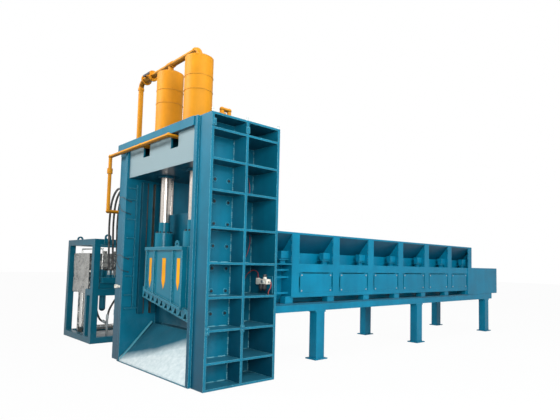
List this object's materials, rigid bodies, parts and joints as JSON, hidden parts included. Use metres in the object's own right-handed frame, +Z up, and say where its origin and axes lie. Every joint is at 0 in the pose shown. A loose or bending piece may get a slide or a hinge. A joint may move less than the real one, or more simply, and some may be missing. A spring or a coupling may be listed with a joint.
{
  "type": "hydraulic gantry scrap shear",
  "caption": "Hydraulic gantry shear with a guillotine slide, a hold-down, a long feed trough with a telescopic pusher, and a power unit in a tube frame.",
  "frame": {"origin": "on the floor, in the middle of the gantry's front plane", "axes": "+X across the gantry to its right seen from the front, +Y from the front into the machine along the trough, +Z up"},
  "size_m": [5.896, 9.8589, 4.96],
  "materials": {
    "blue_paint": "semi-gloss machine enamel, worn at the edges",
    "deep_blue_paint": "semi-gloss machine enamel, darker",
    "yellow_paint": "semi-gloss enamel",
    "bare_steel": "machined, bare",
    "hard_chrome": "ground and hard chromed",
    "liner_brass": "machined, greased",
    "grey_paint": "satin grey under transport film",
    "cast_paint": "painted castings",
    "hose_rubber": "satin black rubber and plastic tube",
    "cream_plastic": "moulded housings",
    "black_plastic": "moulded knob"
  },
  "bodies": {
    "machine": {"column_right": "blue_paint", "column_left": "blue_paint", "crosshead": "blue_paint", "base_tie": "deep_blue_paint", "splice_pads": "bare_steel", "rail_bolts": "bare_steel", "top_studs": "bare_steel", "guide_ladders": "blue_paint", "guide_rails": "deep_blue_paint", "guide_liners": "liner_brass", "knife_table": "deep_blue_paint", "lower_blades": "bare_steel", "lower_blade_bolts": "bare_steel", "chute": "blue_paint", "main_cylinder_right": "yellow_paint", "main_cylinder_left": "yellow_paint", "rod_glands": "deep_blue_paint", "hold_down_cylinders": "yellow_paint", "top_pipe": "yellow_paint", "pipe_valve": "yellow_paint", "front_pipe": "yellow_paint", "rear_pipe": "yellow_paint", "pipe_manifold": "deep_blue_paint", "trough_side_right": "blue_paint", "trough_side_left": "blue_paint", "trough_floor": "deep_blue_paint", "trough_covers": "blue_paint", "cover_screws": "bare_steel", "anchor_blocks": "blue_paint", "base_beams": "blue_paint", "trough_legs": "blue_paint", "end_box": "blue_paint", "end_box_lid": "blue_paint", "feed_barrel": "deep_blue_paint", "unit_frame": "blue_paint", "unit_tray": "grey_paint", "oil_tank": "grey_paint", "valve_block": "blue_paint", "tank_pipes": "bare_steel", "oil_pump": "cast_paint", "pump_motor": "cast_paint", "unit_hoses": "hose_rubber", "pump_hoses": "hose_rubber", "air_unit": "cream_plastic", "service_lines": "hose_rubber"},
    "knife": {"knife_slide": "blue_paint", "upper_blades": "bare_steel", "upper_blade_bolts": "bare_steel", "main_rods": "hard_chrome", "rod_flanges": "blue_paint"},
    "hold_down": {"hold_down_beam": "blue_paint", "hold_down_rods": "hard_chrome"},
    "pusher": {"push_head": "deep_blue_paint", "feed_rod": "hard_chrome"},
    "stage_1": {"feed_stage_1": "hard_chrome"},
    "stage_2": {"feed_stage_2": "hard_chrome"},
    "stage_3": {"feed_stage_3": "hard_chrome"},
    "lever": {"valve_lever": "bare_steel"},
    "shaft": {"motor_shaft": "bare_steel"},
    "knob": {"regulator_knob": "black_plastic"}
  },
  "joints": [
    {"name": "knife_stroke", "type": "slide", "parent": "machine", "child": "knife", "axis": [0, 0, 1], "range_m": [-0.15, 0.7]},
    {"name": "hold_down_stroke", "type": "slide", "parent": "machine", "child": "hold_down", "axis": [0, 0, 1], "range_m": [-0.6, 0.03]},
    {"name": "feed_stroke", "type": "slide", "parent": "machine", "child": "pusher", "axis": [0, -1, 0], "range_m": [0, 5.6]},
    {"name": "feed_stage_1_slide", "type": "slide", "parent": "machine", "child": "stage_1", "axis": [0, -1, 0], "range_m": [0, 1.4]},
    {"name": "feed_stage_2_slide", "type": "slide", "parent": "machine", "child": "stage_2", "axis": [0, -1, 0], "range_m": [0, 2.8]},
    {"name": "feed_stage_3_slide", "type": "slide", "parent": "machine", "child": "stage_3", "axis": [0, -1, 0], "range_m": [0, 4.2]},
    {"name": "valve_turn", "type": "hinge", "parent": "machine", "child": "lever", "pos_m": [-1.205, 0.25, 4.865], "axis": [0, -1, 0], "range_deg": [0, 90]},
    {"name": "shaft_spin", "type": "hinge", "parent": "machine", "child": "shaft", "pos_m": [-3.3, 1.45, 0.2], "axis": [1, 0, 0], "continuous": true},
    {"name": "knob_turn", "type": "hinge", "parent": "machine", "child": "knob", "pos_m": [1.24625, 1.089, 1.45], "axis": [0, 0, 1], "continuous": true}
  ],
  "couplings": [
    {"joint": "feed_stage_1_slide", "follows": "feed_stroke", "ratio": 0.25},
    {"joint": "feed_stage_2_slide", "follows": "feed_stroke", "ratio": 0.5},
    {"joint": "feed_stage_3_slide", "follows": "feed_stroke", "ratio": 0.75}
  ]
}
